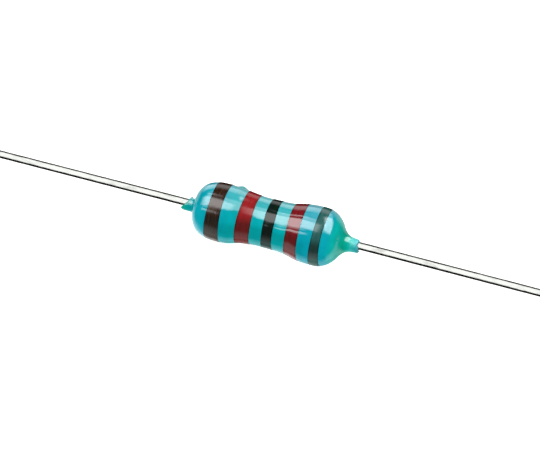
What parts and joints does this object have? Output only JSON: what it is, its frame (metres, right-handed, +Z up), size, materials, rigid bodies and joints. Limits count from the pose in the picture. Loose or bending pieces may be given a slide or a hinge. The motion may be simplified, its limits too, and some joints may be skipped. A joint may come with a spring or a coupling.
{
  "type": "metal film resistor",
  "caption": "Axial metal film resistor: a glossy dog-bone lacquered body with painted colour bands and a long straight tinned wire lead at each end.",
  "frame": {"origin": "middle of the body, on the line of the leads", "axes": "+X along the leads, from the first colour band towards the last one; +Z up"},
  "size_m": [0.061, 0.0036, 0.0036],
  "materials": {
    "turquoise_lacquer": "glossy",
    "brown_ink": "glossy",
    "red_ink": "glossy",
    "black_ink": "glossy",
    "thin_brown_ink": "glossy",
    "alumina": "matt",
    "metal_film": "satin",
    "cap_steel": "satin",
    "tinned_wire": "bright"
  },
  "bodies": {
    "root": {"coating": "turquoise_lacquer", "band_1_brown": "brown_ink", "band_2_red": "red_ink", "band_3_black": "black_ink", "band_4_red": "red_ink", "band_5_brown": "thin_brown_ink", "ceramic_rod": "alumina", "resistive_film": "metal_film", "end_cap_left": "cap_steel", "end_cap_right": "cap_steel", "lead_left": "tinned_wire", "lead_right": "tinned_wire"}
  },
  "joints": []
}
